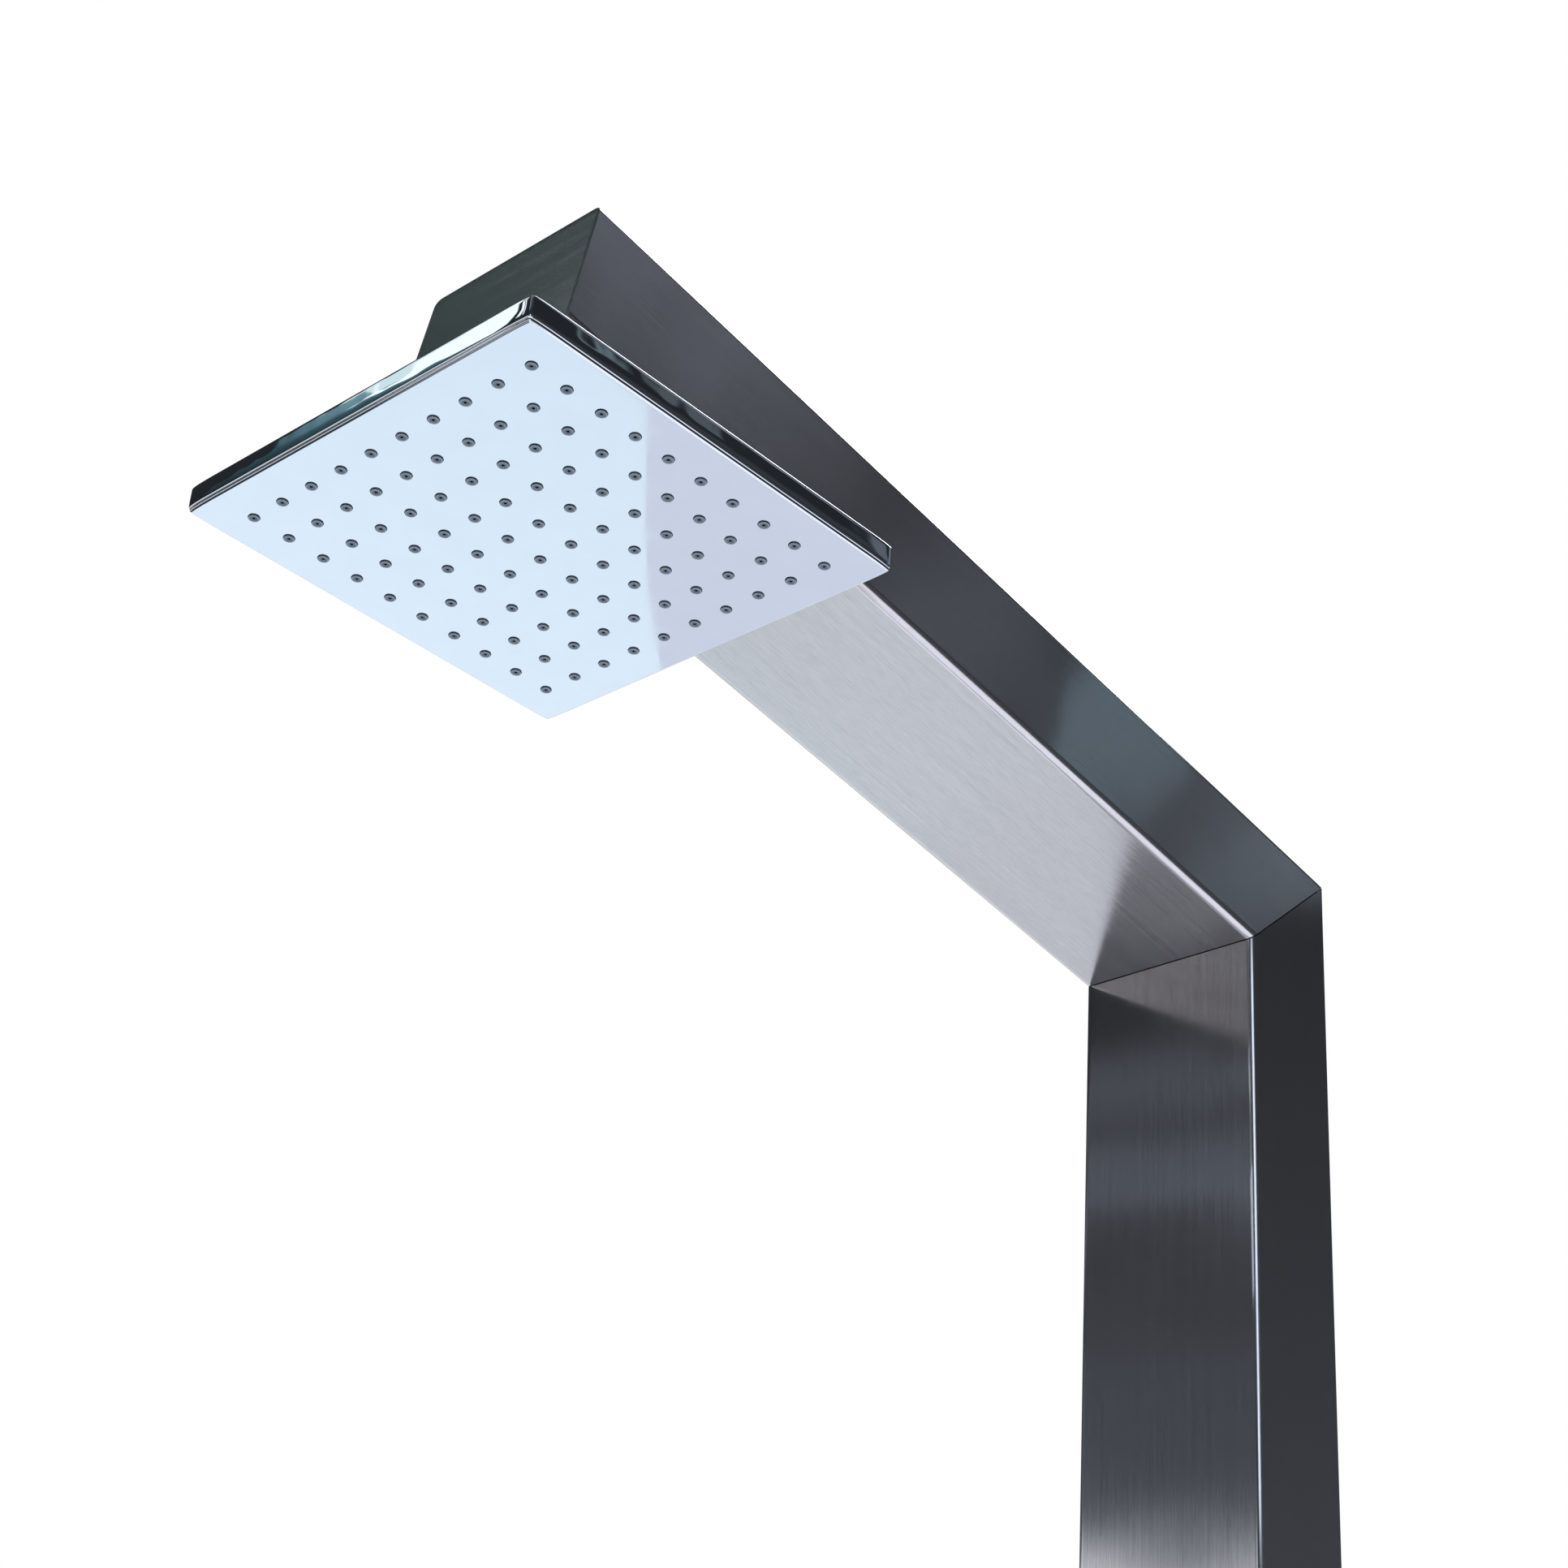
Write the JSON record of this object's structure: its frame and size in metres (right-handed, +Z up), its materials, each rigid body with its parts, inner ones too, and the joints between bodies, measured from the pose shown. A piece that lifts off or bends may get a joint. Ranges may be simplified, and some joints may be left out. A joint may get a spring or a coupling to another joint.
{
  "type": "outdoor shower",
  "caption": "Floor-standing outdoor shower: mitred rectangular tube column and arm, square ball-jointed rain head and single-lever mixer.",
  "frame": {"origin": "on the floor, at the centre of the four anchor holes and under the centre of the column", "axes": "+Z up along the column; the arm and the mixer face -Y; X across the column"},
  "size_m": [0.26, 0.6905, 2.2387],
  "materials": {
    "brushed_tube": "brushed along its length",
    "steel_plate": "bead blasted",
    "inner_steel": "mill finish",
    "chrome": "mirror polished",
    "brass": "machined",
    "rubber": "matt",
    "silicone": "satin",
    "white_plastic": "moulded",
    "ceramic": "lapped",
    "braid": "woven braid"
  },
  "bodies": {
    "frame": {"base_plate": "steel_plate", "foot_sleeve": "inner_steel", "foot_screws": "steel_plate", "column_tube": "brushed_tube", "knee_joiner": "inner_steel", "knee_screws": "steel_plate", "arm_tube": "brushed_tube", "arm_end_cap": "brushed_tube", "valve_body": "brass", "clamp_ring": "brass", "foam_gasket": "rubber", "wall_plate": "chrome", "dome_cover": "chrome", "cartridge_base": "white_plastic", "cartridge_housing": "white_plastic", "cartridge_nut": "brass", "port_seals": "rubber", "fixed_disc": "ceramic", "hot_hose": "braid", "cold_hose": "braid", "riser_hose": "braid", "hose_ferrules": "inner_steel", "hose_nuts": "brass", "supply_nuts": "brass", "hose_seals": "rubber", "elbow_fitting": "brass", "arm_nipple": "chrome", "nipple_locknut": "brass", "nipple_washer": "inner_steel", "flange_seal": "rubber", "swivel_ball": "chrome"},
    "rotor": {"cartridge_rotor": "white_plastic", "pivot_pin": "inner_steel"},
    "ceramic": {"disc_carrier": "white_plastic", "moving_disc": "ceramic"},
    "lever": {"lever_stem": "inner_steel", "lever_handle": "chrome", "grub_screw": "inner_steel", "lever_plug": "rubber"},
    "upper_seat": {"upper_ball_seat": "white_plastic"},
    "lower_seat": {"lower_ball_seat": "white_plastic"},
    "head": {"ball_nut": "chrome", "head_neck": "brass", "filter_screen": "inner_steel", "flow_regulator": "white_plastic", "head_shell": "chrome", "head_gasket": "rubber", "nozzle_mat": "silicone", "face_plate": "chrome"}
  },
  "joints": [
    {"name": "lever_turn", "type": "hinge", "parent": "frame", "child": "rotor", "pos_m": [0, -0.0325, 1.1], "axis": [0, -1, 0], "range_deg": [-50, 50]},
    {"name": "lever_lift", "type": "hinge", "parent": "rotor", "child": "lever", "pos_m": [0, -0.0565, 1.1], "axis": [-1, 0, 0], "range_deg": [0, 25]},
    {"name": "disc_slide", "type": "slide", "parent": "rotor", "child": "ceramic", "axis": [0, 0, -1], "range_m": [0, 0.0032]},
    {"name": "head_tilt", "type": "hinge", "parent": "frame", "child": "upper_seat", "pos_m": [0, -0.4605, 2.143], "axis": [1, 0, 0], "range_deg": [-24, 6]},
    {"name": "head_roll", "type": "hinge", "parent": "upper_seat", "child": "lower_seat", "pos_m": [0, -0.4605, 2.143], "axis": [0, 1, 0], "range_deg": [-15, 15]},
    {"name": "head_swivel", "type": "hinge", "parent": "lower_seat", "child": "head", "pos_m": [0, -0.4605, 2.143], "axis": [0, 0, 1], "continuous": true}
  ],
  "couplings": [
    {"joint": "disc_slide", "follows": "lever_lift", "m_per_rad": 0.007}
  ]
}
